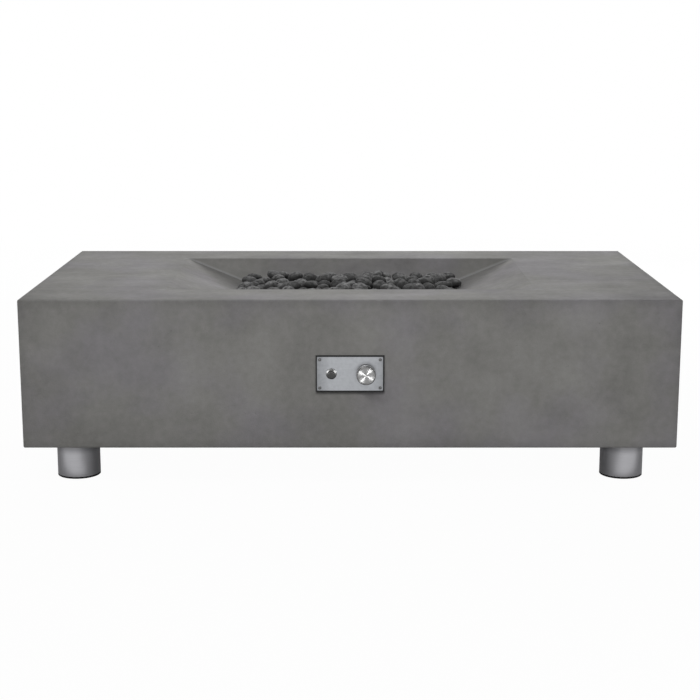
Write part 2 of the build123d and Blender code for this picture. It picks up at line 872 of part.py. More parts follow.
def spark_lead():
    """The insulated lead from the igniter's terminal to the electrode's lower end."""
    tab = igniter * Pos(terminal_pitch / 2, 0, housing_back - terminal_length)
    x, y, z = tab.position
    foot = pan_floor_z - ceramic_down - electrode_tail
    return swept(
        [
            (x, y, z), (x, y + lead_exit, z),
            (electrode_x, electrode_y, foot - lead_drop), (electrode_x, electrode_y, foot),
        ],
        lead_bend, spark_lead_diameter,
    )


def thermocouple_lead():
    """The thin tube from the thermocouple back to the valve's safety magnet."""
    x, y, z = (valve * Pos(0, 0, valve_back - magnet_head / 2)).position
    foot = pan_floor_z - thermocouple_down
    return swept(
        [
            (x, y, z), (x, y + lead_exit, z),
            (thermocouple_x, thermocouple_y, foot - lead_drop), (thermocouple_x, thermocouple_y, foot),
        ],
        lead_bend, thermocouple_lead_diameter,
    )


# Lava stones. Each is a faceted, squashed and turned ball. It is dropped straight down on to
# what is already there, rolled to the lowest spot near by, and left a small gap above its seat.

RING_LATITUDES = (-62, -22, 22, 62)
STEEP = 1e-6


def stone_corners(rng):
    """The corner points of one stone about its own centre, ring by ring, and its side count."""
    sides = rng.choice((7, 8))
    half = stone_length / 2 * np.array([1, stone_breadth, stone_thickness])
    half *= [1 + rng.uniform(-stone_spread, stone_spread) for _ in range(3)]
    rings = []
    for latitude in np.radians(RING_LATITUDES):
        turns = np.arange(sides) * 2 * math.pi / sides
        flat = math.cos(latitude) * np.array([np.cos(turns), np.sin(turns)])
        rings.append(np.vstack([flat, np.full(sides, math.sin(latitude))]).T)
    points = np.vstack(rings) * half
    tilt = [rng.uniform(-stone_tilt, stone_tilt) for _ in range(2)]
    return points @ rotation([*tilt, rng.uniform(0, 180)]).T, sides


def rotation(angles):
    """The matrix that turns by angles about X, then Y, then Z."""
    matrix = np.eye(3)
    for axis, angle in enumerate(np.radians(angles)):
        first, second = [(1, 2), (2, 0), (0, 1)][axis]
        step = np.eye(3)
        step[first, first] = step[second, second] = math.cos(angle)
        step[first, second], step[second, first] = -math.sin(angle), math.sin(angle)
        matrix = step @ matrix
    return matrix


def face_planes(points):
    """Outward planes of a convex lump: rows of normal and offset, at most zero inside."""
    return np.unique(ConvexHull(points).equations.round(9), axis=0)


def surfaces(planes, x, y):
    """The top and the underside of a lump over the points x, y, and where it has any."""
    normal, offset = planes[:, :3], planes[:, 3]
    reach = normal[:, 0, None] * x + normal[:, 1, None] * y + offset[:, None]
    up, down = normal[:, 2] > STEEP, normal[:, 2] < -STEEP
    top = (-reach[up] / normal[up, 2, None]).min(axis=0)
    low = (-reach[down] / normal[down, 2, None]).max(axis=0)
    upright = ~up & ~down
    inside = (top >= low) & (reach[upright] <= 0).all(axis=0)
    return top, low, inside


def stop_height(planes, other):
    """How far a dropped lump is lifted when it first meets another lump, if it meets it."""
    still = np.hstack([other[:, :3], np.zeros((len(other), 1))])
    falling = np.hstack([planes[:, :3], -planes[:, 2:3]])
    meeting = linprog(
        [0, 0, 0, -1], A_ub=np.vstack([still, falling]),
        b_ub=-np.concatenate([other[:, 3], planes[:, 3]]), bounds=[(None, None)] * 4,
    )
    return meeting.x[3] if meeting.status == 0 else -math.inf


def moved(planes, shift):
    """The planes of a lump after a shift."""
    return np.hstack([planes[:, :3], planes[:, 3:] - planes[:, :3] @ np.reshape(shift, (3, 1))])


def brick(low, high):
    """The eight corners of a box."""
    return np.array(list(itertools.product(*zip(low, high))))


def pan_lumps():
    """What stones can land on in the recess, as corner points of convex lumps."""
    deep = pan_under_z
    inner = np.array([pan_length / 2 - pan_sheet, pan_width / 2 - pan_sheet])
    ledge = np.array([ledge_length, ledge_depth]) / 2
    rim = np.array([rim_length, rim_depth]) / 2
    lumps = [brick((*-inner, deep), (*inner, pan_floor_z))]
    for axis in (0, 1):
        for side in (-1, 1):
            shelf = [-rim, rim.copy()]
            shelf[0 if side > 0 else 1][axis] = side * inner[axis]
            lumps.append(brick((*shelf[0], deep), (*shelf[1], ledge_z + pan_sheet)))
            slope = np.zeros((6, 3))
            slope[:, 1 - axis] = [-rim[1 - axis], rim[1 - axis]] * 3
            slope[:, axis] = np.repeat([ledge[axis], rim[axis], rim[axis]], 2) * side
            slope[:, 2] = np.repeat([ledge_z, body_top, ledge_z], 2)
            lumps.append(slope)
    bar_x = burner_length / 2 - burner_tube / 2
    half = burner_tube / 2
    lumps.append(brick((-bar_x, -half, deep), (bar_x, half, burner_top_z)))
    for side in (-bar_x, bar_x):
        low, high = (side - half, -burner_width / 2, deep), (side + half, burner_width / 2, burner_top_z)
        lumps.append(brick(low, high))
    lumps.append(brick([-coupling_diameter / 2] * 2 + [deep], [coupling_diameter / 2] * 2 + [burner_z]))
    reach = np.array([hood_length / 2 + hood_foot, hood_depth / 2])
    centre = np.array([hood_x, hood_y])
    feet_top = pan_floor_z + hood_sheet + hood_screw_dome
    lumps.append(brick((*centre - reach, deep), (*centre + reach, feet_top)))
    reach[0] = hood_length / 2
    lumps.append(brick((*centre - reach, deep), (*centre + reach, hood_top)))
    return lumps


def bed_slack(x, y):
    """How far the bed's domed surface falls away from its crown over a place."""
    return bed_fall * max(abs(2 * x / ledge_length), abs(2 * y / ledge_depth)) ** 4


class StoneBed:
    """A height field over the recess, on which stones are dropped."""

    def __init__(self):
        half_x = int(rim_length / 2 / bed_cell)
        half_y = int(rim_depth / 2 / bed_cell)
        self.middle = np.array([half_x, half_y])
        cells_x, cells_y = np.mgrid[-half_x:half_x + 1, -half_y:half_y + 1] * bed_cell
        self.x, self.y = cells_x, cells_y
        self.height = np.full(cells_x.shape, pan_under_z)
        self.lumps = []
        for points in pan_lumps():
            self.add(points)

    def add(self, points):
        planes = face_planes(points)
        self.lumps.append((planes, points.min(axis=0), points.max(axis=0)))
        low = np.floor(points[:, :2].min(axis=0) / bed_cell).astype(int) + self.middle
        high = np.ceil(points[:, :2].max(axis=0) / bed_cell).astype(int) + self.middle
        window = np.s_[max(low[0], 0):high[0] + 1, max(low[1], 0):high[1] + 1]
        x, y = self.x[window], self.y[window]
        top, _, inside = surfaces(planes, x.ravel(), y.ravel())
        top = np.where(inside, top, -math.inf).reshape(x.shape)
        self.height[window] = np.maximum(self.height[window], top)

    def drop(self, points, rng):
        """Where a stone comes to rest: the deepest of several tries, each rolled downhill."""
        planes = face_planes(points)
        reach = math.ceil(np.abs(points[:, :2]).max() / bed_cell)
        ox, oy = np.mgrid[-reach:reach + 1, -reach:reach + 1] * bed_cell
        _, low, inside = surfaces(planes, ox.ravel(), oy.ravel())
        under = np.where(inside, low, math.inf).reshape(ox.shape)
        limit = self.middle - reach - 1

        def rest(cell):
            i, j = self.middle + cell
            here = self.height[i - reach:i + reach + 1, j - reach:j + reach + 1]
            return (here - under).max()

        best = (math.inf, 0, None)
        for _ in range(drop_tries):
            cell = np.array([rng.randint(-limit[0], limit[0]), rng.randint(-limit[1], limit[1])])
            height = rest(cell)
            while True:
                around = itertools.product((-1, 0, 1), repeat=2)
                steps = [np.clip(cell + step, -limit, limit) for step in around]
                heights = [rest(step) for step in steps]
                if min(heights) >= height:
                    break
                height = min(heights)
                cell = steps[heights.index(height)]
            over = height + bed_slack(*cell * bed_cell)
            if over < best[0]:
                best = (over, height, cell * bed_cell)
        _, height, spot = best
        return np.array([*spot, self.settled(planes, points, spot, height)])

    def settled(self, planes, points, spot, about):
        """The exact height at which a stone over a spot meets what is under it, plus the gap."""
        low, high = points.min(axis=0), points.max(axis=0)
        placed = moved(planes, (*spot, 0))
        stops = [
            stop_height(placed, other) for other, least, most in self.lumps
            if (least[:2] < high[:2] + spot).all() and (most[:2] > low[:2] + spot).all()
            and most[2] > low[2] + about - bed_cell
        ]
        return max(stops) + stone_gap


def stone_solid(points, sides):
    """A closed solid from a stone's rings of corners."""
    rings = points.reshape(len(RING_LATITUDES), sides, 3)
    faces = [Face(Wire.make_polygon([Vector(*p) for p in rings[0][::-1]]))]
    faces += [Face(Wire.make_polygon([Vector(*p) for p in rings[-1]]))]
    for below, above in zip(rings[:-1], rings[1:]):
        for side in range(sides):
            after = (side + 1) % sides
            corners = (below[side], below[after], above[after], above[side])
            faces.append(Face(Wire.make_polygon([Vector(*p) for p in corners])))
    return Solid(Shell(faces))


def lava_stones():
    """A bed of loose stones, domed a little, that fills the pan and covers the burner."""
    rng = random.Random(stone_seed)
    bed = StoneBed()
    stones, misses = [], 0
    while misses < drop_misses:
        points, sides = stone_corners(rng)
        points = points + bed.drop(points, rng)
        x, y, _ = points.mean(axis=0)
        if points[:, 2].max() > body_top - bed_crown - bed_slack(x, y):
            misses += 1
            continue
        misses = 0
        bed.add(points)
        stones.append(stone_solid(points, sides))
    return group(stones)


def main():
    parts = {
        "concrete_shell": concrete_shell(),
        "leg_bolts": leg_bolts(),
        "leg_washers": leg_washers(),
        "leg_inserts": leg_inserts(),
        "control_plate": control_plate(),
        "panel_gasket": panel_gasket(),
        "panel_screws": panel_screws(),
        "panel_inserts": panel_inserts(),
        "valve_body": valve_body(),
        "valve_stem": valve_stem(),
        "spring_seat": spring_seat(),
        "valve_spring": valve_spring(),
        "magnet_unit": magnet_unit(),
        "valve_lock_nut": valve_lock_nut(),
        "knob": knob(),
        "knob_set_screw": knob_set_screw(),
        "gas_inlet": gas_inlet(),
        "valve_outlet": valve_outlet(),
        "igniter_bezel": igniter_bezel(),
        "igniter_nut": igniter_nut(),
        "igniter_button": igniter_button(),
        "igniter_spring": igniter_spring(),
        "igniter_housing": igniter_housing_shell(),
        "igniter_battery": igniter_battery(),
        "igniter_terminals": igniter_terminals(),
        "burner_pan": burner_pan(),
        "burner": burner(),
        "burner_nipple": burner_nipple(),
        "pan_lock_nut": pan_lock_nut(),
        "air_mixer": air_mixer(),
        "gas_orifice": gas_orifice(),
        "feed_tube": feed_tube(),
        "feed_nuts": feed_nuts(),
        "electrode_ceramic": electrode_ceramic(),
        "electrode_rod": electrode_rod(),
        "thermocouple": thermocouple(),
        "thermocouple_nut": thermocouple_nut_ring(),
        "igniter_hood": igniter_hood(),
        "hood_screws": hood_screws(),
        "spark_lead": spark_lead(),
        "thermocouple_lead": thermocouple_lead(),
        "lava_stones": lava_stones(),
    }
    for name, (x, y) in legs.items():
        parts[f"leg_{name}"] = leg(x, y)
        parts[f"foot_pad_{name}"] = foot_pad(x, y)
    os.makedirs("parts", exist_ok=True)
    for name, shape in parts.items():
        export_step(Pos(0, front_reach / 2, 0) * shape, f"parts/{name}.step")


if __name__ == "__main__":
    main()
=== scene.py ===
import json
import math

import bmesh
import bpy
import numpy as np
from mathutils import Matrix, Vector, noise


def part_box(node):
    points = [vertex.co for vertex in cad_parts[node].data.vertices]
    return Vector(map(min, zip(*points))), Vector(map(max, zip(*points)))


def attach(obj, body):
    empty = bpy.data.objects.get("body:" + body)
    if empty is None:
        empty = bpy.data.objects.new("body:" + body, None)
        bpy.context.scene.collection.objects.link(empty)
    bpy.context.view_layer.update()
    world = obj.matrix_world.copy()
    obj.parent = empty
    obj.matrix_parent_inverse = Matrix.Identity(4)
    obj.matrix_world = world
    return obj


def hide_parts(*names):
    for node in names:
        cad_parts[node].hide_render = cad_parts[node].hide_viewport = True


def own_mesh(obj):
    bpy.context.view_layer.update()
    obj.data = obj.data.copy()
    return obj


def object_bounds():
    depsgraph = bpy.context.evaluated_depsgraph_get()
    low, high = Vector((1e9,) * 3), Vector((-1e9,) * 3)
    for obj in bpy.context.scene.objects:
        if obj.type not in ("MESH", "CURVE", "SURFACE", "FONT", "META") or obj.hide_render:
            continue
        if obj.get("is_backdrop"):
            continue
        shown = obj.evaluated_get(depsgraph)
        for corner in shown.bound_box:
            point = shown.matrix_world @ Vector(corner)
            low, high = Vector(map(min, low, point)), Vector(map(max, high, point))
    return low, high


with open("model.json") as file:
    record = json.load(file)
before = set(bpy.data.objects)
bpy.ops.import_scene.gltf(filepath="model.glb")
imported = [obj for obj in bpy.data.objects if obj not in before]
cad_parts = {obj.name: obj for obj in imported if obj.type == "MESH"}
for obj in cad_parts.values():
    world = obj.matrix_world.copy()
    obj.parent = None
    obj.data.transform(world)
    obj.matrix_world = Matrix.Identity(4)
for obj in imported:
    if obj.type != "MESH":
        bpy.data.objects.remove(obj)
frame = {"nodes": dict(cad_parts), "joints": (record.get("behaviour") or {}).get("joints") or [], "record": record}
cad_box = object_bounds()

# A concrete fire pit with a bed of lava stones, dressed for a studio picture. Lengths are metres.

# Camera, fitted to the edges of the concrete body in the photograph
IMAGE_SIDE = 700
CAMERA_AHEAD = 3.3575
CAMERA_ABOVE = 0.5649
CAMERA_PITCH = math.radians(11.303)
CAMERA_LENS = 76.57
AXIS_ROW_SHIFT = -4.5

# Studio
FLOOR_SIDE = 60.0
FLOOR_COLOUR = (0.62, 0.62, 0.62, 1)
FLOOR_GLOW = 0.975
GLOW_NEAR = 1.2
GLOW_FAR = 4.5
KEY_DISTANCE = 3.0
KEY_WAY = Vector((-0.30, -0.49, 0.82))
PIN_DISTANCE = 1.5
PIN_RADIUS = 0.003
PIN_BLEND = 0.5

# Painted shadow: a dimly glowing dark card on the floor, seen only in metal, that stands for the body's shadow
# there: a wide part under the body and a narrow one ahead of it
SHADOW_CARD_LEVEL = 0.12
FLAG_LIFT = 0.001
FLAG_REACH = 1.4
FLAG_BACK = 0.9
FLAG_FRONT = -0.375
FLAG_LIP_REACH = 0.58
FLAG_LIP_FRONT = -0.8

# Fire recess in the concrete's top
RIM_LENGTH = 0.884
RIM_DEPTH = 0.530
LEDGE_LENGTH = 0.556
LEDGE_DEPTH = 0.400
RECESS_DROP = 0.056

# Painted shade and highlights on the concrete, and dust on its level faces: widths, distances, and shares of dark
# or pale colour
LEVEL_NORMAL = (0.96, 0.99)
LEVEL_DUST = 0.08
CREASE_SHADOW_FAN = (0.2, 1.15)
CREASE_SHADOW_SHARES = (0.07, 0.54)
CREASE_SHADOW_LEAN = 0.3
CREASE_START = 0.01
CREASE_HIGHLIGHT_WIDTH = (0.003, 0.0075)
CREASE_HIGHLIGHT_SHARE = 0.5
EDGE_SHADE_SHARES = {0.022: 0.14, 0.08: 0.06}
END_SHADE_START = 0.1
END_SHADE_SHARE = 0.34
END_SHADE_DEPTH = 0.35
END_SHADE_BEHIND = 0.25
PANEL_SHADOW_SHARE = 0.75
PANEL_SHADOW_DROP = (0.011, 0.001)
PANEL_SHADOW_HIDDEN = (0.001, 0.003)
PANEL_SHADOW_SIDES = (-0.003, 0.002)
PANEL_SHADOW_DEPTH = (0.002, 0.008)

# Painted shade on the metal, and marks on the control plate
LEG_SHADOW_BAND = (0.036, 0.014)
LEG_SHADOW_SHARE = 0.5
PLATE_BRIGHTEST = 0.004
PLATE_SHADED_END = 0.030
PLATE_END_SHADE_SHARE = 0.34
PLATE_MARK_SHARE = 0.09
KNOB_FACE_EDGE = (0.0203, 0.0207)
KNOB_SHADE_BAND_EDGE = (0.006, 0.007)
KNOB_SHADE_BAND_SHARE = 0.8

# Stones
STONE_ROUNDNESS = 13
STONE_SWELL = 1.035
STONE_LUMPS = 0.035
STONE_LUMP_RATE = 1.6
STONE_PITS = 0.008
STONE_PIT_RATE = 6.0
STONE_SHIFT = (3.7, 1.3, 2.1)
STONE_DETAIL = 4
SAME_POINT = 1e-5
SAME_NORMAL_DIGITS = 3


class Finish:
    """A procedural material, painted in the part's own metres."""

    def __init__(self, name, **surface):
        self.material = bpy.data.materials.new(name)
        self.material.use_nodes = True
        self.tree = self.material.node_tree
        self.shader = self.tree.nodes["Principled BSDF"]
        for word, value in surface.items():
            socket = word.replace("_", " ").title().replace("Ior", "IOR")
            self.shader.inputs[socket].default_value = value
        self.place = self.add("ShaderNodeTexCoord").outputs["Object"]

    def add(self, kind, settings=(), **values):
        node = self.tree.nodes.new(kind)
        for name, value in dict(settings).items():
            setattr(node, name, value)
        for socket, value in values.items():
            self.feed(node.inputs[socket], value)
        return node

    def feed(self, socket, value):
        """Sets a socket to a number or colour, or links another socket to it."""
        if isinstance(value, bpy.types.NodeSocket):
            self.tree.links.new(value, socket)
        else:
            socket.default_value = value

    def noise(self, size, detail=3.0, stretch=(1, 1, 1), offset=0.0):
        """Cloudy noise from 0 to 1 with features of a size, shorter along stretched axes."""
        shift = (offset, offset, offset)
        moved = self.add("ShaderNodeMapping", Vector=self.place, Scale=stretch, Location=shift)
        cloud = self.add("ShaderNodeTexNoise", Scale=1 / size, Detail=detail, Vector=moved.outputs[0])
        return cloud.outputs["Fac"]

    def vector(self, operation, first, second=(0, 0, 0)):
        node = self.add("ShaderNodeVectorMath", {"operation": operation})
        self.feed(node.inputs[0], first)
        self.feed(node.inputs[1], second)
        return node.outputs["Value" if operation in ("LENGTH", "DOT_PRODUCT") else "Vector"]

    def cells(self, size):
        """The distance to the nearest of scattered points, about a size apart, from 0 up."""
        node = self.add("ShaderNodeTexVoronoi", Scale=1 / size, Vector=self.place)
        return node.outputs["Distance"]

    def remap(self, value, low, high, to_low, to_high, curve="LINEAR"):
        node = self.add("ShaderNodeMapRange", {"interpolation_type": curve}, Value=value)
        for socket, number in zip(node.inputs[1:5], (low, high, to_low, to_high)):
            socket.default_value = number
        return node.outputs[0]

    def math(self, operation, first, second):
        node = self.add("ShaderNodeMath", {"operation": operation})
        self.feed(node.inputs[0], first)
        self.feed(node.inputs[1], second)
        return node.outputs[0]

    def mix(self, share, first, second):
        node = self.add("ShaderNodeMix", {"data_type": "RGBA"})
        for index, value in ((0, share), (6, first), (7, second)):
            self.feed(node.inputs[index], value)
        return node.outputs[2]

    def part(self, vector, axis):
        """One of a vector's three parts, X, Y or Z."""
        return self.add("ShaderNodeSeparateXYZ", Vector=vector).outputs[axis]

    def colour(self, value):
        self.feed(self.shader.inputs["Base Color"], value)

    def roughness(self, value):
        self.feed(self.shader.inputs["Roughness"], value)

    def bump(self, height, depth):
        """Adds relief of a depth in metres to what the surface already has."""
        normal = self.shader.inputs["Normal"]
        node = self.add("ShaderNodeBump", Height=height, Distance=depth)
        if normal.is_linked:
            self.feed(node.inputs["Normal"], normal.links[0].from_socket)
        self.feed(normal, node.outputs[0])


def grey(level, tint=(1, 1, 1)):
    return (level * tint[0], level * tint[1], level * tint[2], 1)


# Materials


def crease(m):
    """A point's spread and distance from the recess's nearest crease, folded into one corner."""
    low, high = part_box("concrete_shell")
    middle = Vector(((low.x + high.x) / 2, (low.y + high.y) / 2, 0))
    upper = Vector((RIM_LENGTH / 2, RIM_DEPTH / 2, high.z))
    lower = Vector((LEDGE_LENGTH / 2, LEDGE_DEPTH / 2, high.z - RECESS_DROP))
    folded = m.vector("ABSOLUTE", m.vector("SUBTRACT", m.place, middle))
    offset = m.vector("SUBTRACT", folded, upper)
    down = (lower - upper).normalized()
    apart = m.vector("LENGTH", m.vector("CROSS_PRODUCT", offset, down))
    along = m.math("MAXIMUM", m.vector("DOT_PRODUCT", offset, down), CREASE_START)
    return m.math("DIVIDE", apart, along), apart


def edge_distance(m):
    """How far a point of the body's outside is from its nearest edge: the middle of three depths."""
    low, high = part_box("concrete_shell")
    offset = m.vector("ABSOLUTE", m.vector("SUBTRACT", m.place, (low + high) / 2))
    depth = m.vector("SUBTRACT", (high - low) / 2, offset)
    x, y, z = m.add("ShaderNodeSeparateXYZ", Vector=depth).outputs
    upper = m.math("MINIMUM", m.math("MAXIMUM", x, y), z)
    return m.math("MAXIMUM", m.math("MINIMUM", x, y), upper)


def panel_shadow(m):
    """A painted shadow on the front: a dark line under the lower edge of the control panel's gasket."""
    low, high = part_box("panel_gasket")
    offset = m.vector("ABSOLUTE", m.vector("SUBTRACT", m.place, (low + high) / 2))
    height = m.part(m.place, "Z")
    half = (high.x - low.x) / 2
    inside = m.remap(m.part(offset, "X"), *[half + d for d in PANEL_SHADOW_SIDES], 1, 0)
    front = m.remap(m.part(m.place, "Y"), *[high.y + d for d in PANEL_SHADOW_DEPTH], 1, 0)
    drop = [low.z - d for d in PANEL_SHADOW_DROP]
    under = m.remap(height, *drop, 0, PANEL_SHADOW_SHARE, "SMOOTHSTEP")
    open_to_view = m.remap(height, *[low.z + d for d in PANEL_SHADOW_HIDDEN], 1, 0)
    on_front = m.math("MULTIPLY", inside, front)
    return m.math("MULTIPLY", on_front, m.math("MULTIPLY", under, open_to_view))


def level_faces(m, lean, share):
    """A share for level faces and none for the others, from the size of the normal's parts."""
    return m.remap(m.part(lean, "Z"), *LEVEL_NORMAL, 0, share)


def end_shade(m, lean):
    """Painted shade: how much darker the level top is, most of all towards its front corners."""
    low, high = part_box("concrete_shell")
    across = m.part(m.vector("ABSOLUTE", m.place), "X")
    ends = m.remap(across, END_SHADE_START, high.x, 0, END_SHADE_SHARE)
    front = m.remap(m.part(m.place, "Y"), low.y, low.y + END_SHADE_DEPTH, 1, END_SHADE_BEHIND)
    return m.math("MULTIPLY", level_faces(m, lean, 1), m.math("MULTIPLY", ends, front))


def concrete():
    """Smooth cast concrete: mottling, faint stains, pinholes and dust on level faces, with painted shade: a
    painted shadow fanning from the recess's creases, a painted highlight along them, darker edges and top ends,
    and a painted shadow under the control panel.
    """
    m = Finish("concrete", specular_ior_level=0.35)
    clouds = m.noise(0.30, 6.0)
    patches = m.noise(0.085, 5.0, offset=3.0)
    streaks = m.noise(0.12, 4.0, stretch=(0.5, 2.2, 1.0), offset=7.0)
    grain = m.noise(0.0022, 2.0)
    shade = m.mix(0.45, clouds, patches)
    shade = m.mix(0.25, shade, streaks)
    shade = m.mix(0.20, shade, m.noise(0.016, 5.0, offset=23.0))
    shade = m.mix(0.12, shade, grain)
    tone = m.remap(shade, 0.36, 0.64, 0, 1)
    base = m.mix(tone, grey(0.184, (1, 0.985, 0.935)), grey(0.296, (1, 0.985, 0.945)))
    stains = m.remap(m.noise(0.20, 3.0, offset=11.0), 0.44, 0.64, 0, 0.75)
    stained = m.mix(tone, grey(0.195, (1, 0.965, 1.01)), grey(0.285, (1, 0.965, 1.02)))
    base = m.mix(stains, base, stained)
    fan, apart = crease(m)
    lean = m.vector("ABSOLUTE", m.add("ShaderNodeTexCoord").outputs["Normal"])
    # Painted shadow: the side slopes darken in a fan from each of the recess's creases, as if the end slopes
    # shaded them.
    crease_shadow = m.remap(m.part(lean, "X"), 0, CREASE_SHADOW_LEAN, *CREASE_SHADOW_SHARES)
    crease_shadow = m.math("MULTIPLY", m.remap(fan, *CREASE_SHADOW_FAN, 1, 0, "SMOOTHSTEP"), crease_shadow)
    base = m.mix(crease_shadow, base, grey(0))
    # Painted highlight: a pale line along each crease, where its rounded fillet would catch the light.
    base = m.mix(m.remap(apart, *CREASE_HIGHLIGHT_WIDTH, CREASE_HIGHLIGHT_SHARE, 0), base, grey(0.36))
    edge = edge_distance(m)
    # Painted shade: the body darkens towards each of its edges.
    for width, share in EDGE_SHADE_SHARES.items():
        base = m.mix(m.remap(edge, 0, width, share, 0), base, grey(0))
    base = m.mix(level_faces(m, lean, LEVEL_DUST), base, grey(0.45))
    # Painted shade: the top darkens towards its ends.
    base = m.mix(end_shade(m, lean), base, grey(0))
    # Painted shadow under the control panel.
    base = m.mix(panel_shadow(m), base, grey(0.03))
    holes = m.remap(m.cells(0.011), 0.05, 0.12, 1, 0)
    sparse = m.remap(m.noise(0.05, 2.0, offset=17.0), 0.56, 0.66, 0, 1)
    holes = m.math("MULTIPLY", holes, sparse)
    m.colour(m.mix(m.math("MULTIPLY", holes, 0.5), base, grey(0.09)))
    m.roughness(m.remap(shade, 0.36, 0.64, 0.92, 0.66))
    m.bump(grain, 0.00025)
    m.bump(m.noise(0.03, 4.0, offset=5.0), 0.0006)
    m.bump(m.math("SUBTRACT", 1.0, holes), 0.0006)
    return m.material


def brushed(name, level, stretch, rough=(0.28, 0.42), tint=(1, 1, 1.02), smear=0.0015, marks_and_shade=None):
    """Brushed steel: fine lines along the axis stretched least, with smudges, and perhaps marks and painted shade.
    """
    m = Finish(name, metallic=1.0)
    lines = m.noise(smear, 3.0, stretch=stretch)
    smudges = m.noise(0.03, 4.0, offset=2.0)
    base = m.mix(lines, grey(level * 0.88, tint), grey(level * 1.06, tint))
    if marks_and_shade:
        base = m.mix(marks_and_shade(m), base, grey(0.02))
    m.colour(base)
    worn = m.mix(0.45, lines, smudges)
    m.roughness(m.remap(worn, 0.3, 0.7, *rough))
    m.bump(lines, 0.00003)
    return m.material


def leg_top_shadow(m):
    """A painted shadow: a dark band where a leg meets the concrete."""
    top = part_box("leg_front_left")[1].z
    shade_band = [top - d for d in LEG_SHADOW_BAND]
    # Painted shadow: the leg darkens towards its top.
    return m.remap(m.part(m.place, "Z"), *shade_band, 0, LEG_SHADOW_SHARE, "SMOOTHSTEP")


def plate_shade_and_marks(m):
    """Painted dark reflection at the control plate's ends, and finger marks on it."""
    low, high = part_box("control_plate")
    brightest = (low + high) / 2 + Vector((PLATE_BRIGHTEST, 0, 0))
    offset = m.vector("ABSOLUTE", m.vector("SUBTRACT", m.place, brightest))
    farthest = brightest.x - low.x
    # Painted reflection: the plate darkens towards its ends.
    ends = m.remap(m.part(offset, "X"), farthest - PLATE_SHADED_END, farthest, 0, PLATE_END_SHADE_SHARE)
    marks = m.remap(m.noise(0.007, 4.0, offset=13.0), 0.42, 0.66, 0, PLATE_MARK_SHARE)
    return m.math("ADD", ends, marks)


def turned_metal(name, level, rough, tint=(1, 1, 1)):
    """Plain machined metal with faint tool marks and handling."""
    m = Finish(name, metallic=1.0)
    marks = m.noise(0.0012, 3.0)
    handling = m.noise(0.012, 4.0, offset=4.0)
    m.colour(m.mix(handling, grey(level * 0.85, tint), grey(level * 1.08, tint)))
    m.roughness(m.remap(m.mix(0.5, marks, handling), 0.3, 0.7, rough - 0.08, rough + 0.1))
    m.bump(marks, 0.00002)
    return m.material


def spun_metal():
    """The knob's metal, spun in rings, so that lights smear into wedges on its face."""
    m = Finish("knob_metal", metallic=1.0, anisotropic=0.89, anisotropic_rotation=0.25)
    ring = m.add("ShaderNodeTangent", {"direction_type": "RADIAL", "axis": "Y"})
    m.feed(m.shader.inputs["Tangent"], ring.outputs[0])
    marks = m.noise(0.0008, 2.0)
    handling = m.noise(0.01, 3.0, offset=6.0)
    low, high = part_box("knob")
    spoke = m.vector("MULTIPLY", m.vector("SUBTRACT", m.place, (low + high) / 2), (1, 0, 1))
    reach = m.vector("LENGTH", spoke)
    face = m.mix(handling, grey(0.18), grey(0.22))
    # Painted shade and highlight: the chamfer and the front of the side are dark, a dark ring round the face, and
    # the side behind it is light.
    depth = m.part(m.vector("SUBTRACT", m.place, low), "Y")
    shade_band = m.remap(depth, *KNOB_SHADE_BAND_EDGE, KNOB_SHADE_BAND_SHARE, 0)
    rim = m.mix(shade_band, grey(0.42), grey(0.04))
    m.colour(m.mix(m.remap(reach, *KNOB_FACE_EDGE, 0, 1), face, rim))
    m.roughness(m.remap(marks, 0.3, 0.7, 0.33, 0.40))
    m.bump(marks, 0.00001)
    return m.material


def chrome():
    m = Finish("bezel_chrome", metallic=1.0)
    haze = m.noise(0.004, 3.0)
    m.colour(m.mix(haze, grey(0.08), grey(0.11)))
    m.roughness(m.remap(haze, 0.3, 0.7, 0.50, 0.58))
    m.bump(m.noise(0.002, 2.0), 0.00001)
    return m.material


def plastic(name, level, rough):
    """Moulded plastic with a fine spark-eroded grain."""
    m = Finish(name, specular_ior_level=0.3)
    grain = m.noise(0.0006, 2.0)
    wear = m.noise(0.01, 3.0, offset=8.0)
    m.colour(m.mix(wear, grey(level * 0.8), grey(level * 1.25)))
    m.roughness(m.remap(wear, 0.3, 0.7, rough - 0.08, rough + 0.08))
    m.bump(grain, 0.00003)
    return m.material


def rubber(name, level):
    m = Finish(name, specular_ior_level=0.25)
    dust = m.noise(0.02, 4.0)
    grain = m.noise(0.0009, 2.0)
    m.colour(m.mix(dust, grey(level * 0.8), grey(level * 1.6)))
    m.roughness(m.remap(grain, 0.3, 0.7, 0.62, 0.8))
    m.bump(grain, 0.00006)
    return m.material


def ceramic():
    m = Finish("insulator", coat_weight=0.6)
    speckle = m.noise(0.0015, 3.0)
    m.colour(m.mix(speckle, grey(0.62, (1, 0.97, 0.9)), grey(0.8, (1, 0.98, 0.94))))
    m.roughness(m.remap(speckle, 0.3, 0.7, 0.2, 0.32))
    m.bump(speckle, 0.00002)
    return m.material


